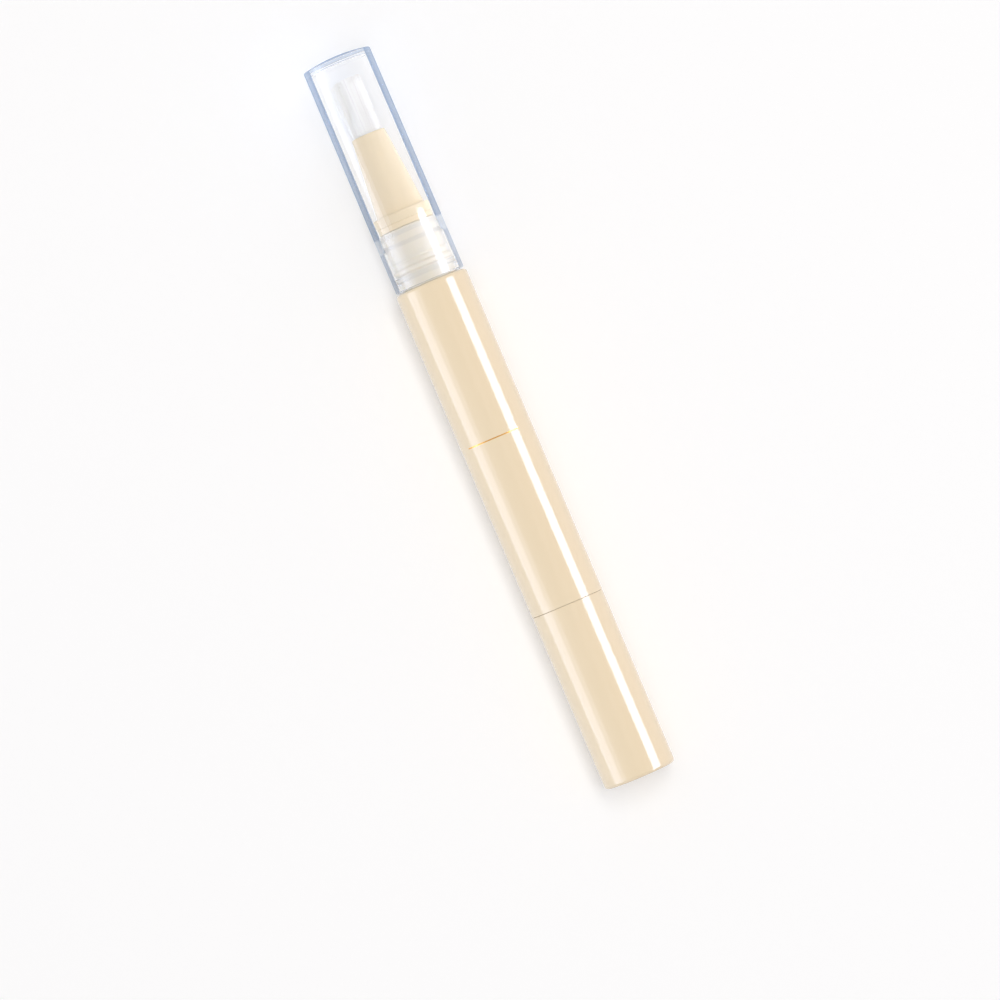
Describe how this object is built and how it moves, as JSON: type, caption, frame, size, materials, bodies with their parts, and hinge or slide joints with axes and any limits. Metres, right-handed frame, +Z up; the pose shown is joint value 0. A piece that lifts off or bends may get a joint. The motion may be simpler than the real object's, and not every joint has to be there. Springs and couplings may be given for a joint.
{
  "type": "twist-up oil pen",
  "caption": "Twist-up cuticle oil pen: a knob winds a screw and piston that feed oil to a brush under a clear snap cap.",
  "frame": {"origin": "the point on the resting surface under the middle of the pen's length; the pen lies on its side", "axes": "+X along the pen towards the cap, +Z up, square to the surface that the pen lies on"},
  "size_m": [0.1432, 0.014, 0.0139],
  "materials": {
    "cream_abs": "glossy moulded ABS, warm cream, roughness about 0.3",
    "clear_plastic": "clear polished injection moulded plastic, faint blue edge",
    "natural_pp": "translucent natural polypropylene, satin",
    "white_nylon": "white moulded nylon, satin",
    "white_acetal": "white moulded acetal, satin",
    "soft_ldpe": "soft low density polyethylene, waxy",
    "silicone": "translucent silicone rubber",
    "porous_plug": "open cell porous plug, matt",
    "nylon_filament": "clear to white nylon filament",
    "golden_oil": "clear golden oil"
  },
  "bodies": {
    "pen_body": {"barrel": "cream_abs", "ratchet_housing": "white_nylon", "retaining_ring": "white_nylon", "feed_nut": "white_nylon", "reservoir_tube": "natural_pp", "oil_fill": "golden_oil", "nose_cone": "cream_abs", "neck_seal": "silicone", "flow_plug": "porous_plug", "feed_tube": "natural_pp", "tuft_sleeve": "white_nylon", "bristle_tuft": "nylon_filament"},
    "knob_body": {"twist_knob": "cream_abs", "drive_sleeve": "white_acetal", "click_spring": "white_acetal"},
    "rod_body": {"screw_rod": "white_acetal"},
    "piston_body": {"piston": "soft_ldpe"},
    "cap_body": {"cap": "clear_plastic"}
  },
  "joints": [
    {"name": "knob_twist", "type": "hinge", "parent": "pen_body", "child": "knob_body", "pos_m": [-0.0372, 0, 0.00696], "axis": [1, 0, 0], "range_deg": [0, 2880], "deforming": ["click_spring"]},
    {"name": "rod_feed", "type": "slide", "parent": "knob_body", "child": "rod_body", "axis": [1, 0, 0], "range_m": [0, 0.024]},
    {"name": "piston_feed", "type": "slide", "parent": "pen_body", "child": "piston_body", "axis": [1, 0, 0], "range_m": [0, 0.024], "deforming": ["oil_fill"]},
    {"name": "cap_pull", "type": "slide", "parent": "pen_body", "child": "cap_body", "axis": [1, 0, 0], "range_m": [0, 0.05]}
  ],
  "couplings": [
    {"joint": "rod_feed", "follows": "knob_twist", "m_per_rad": 0.00047746},
    {"joint": "piston_feed", "follows": "knob_twist", "m_per_rad": 0.00047746}
  ]
}
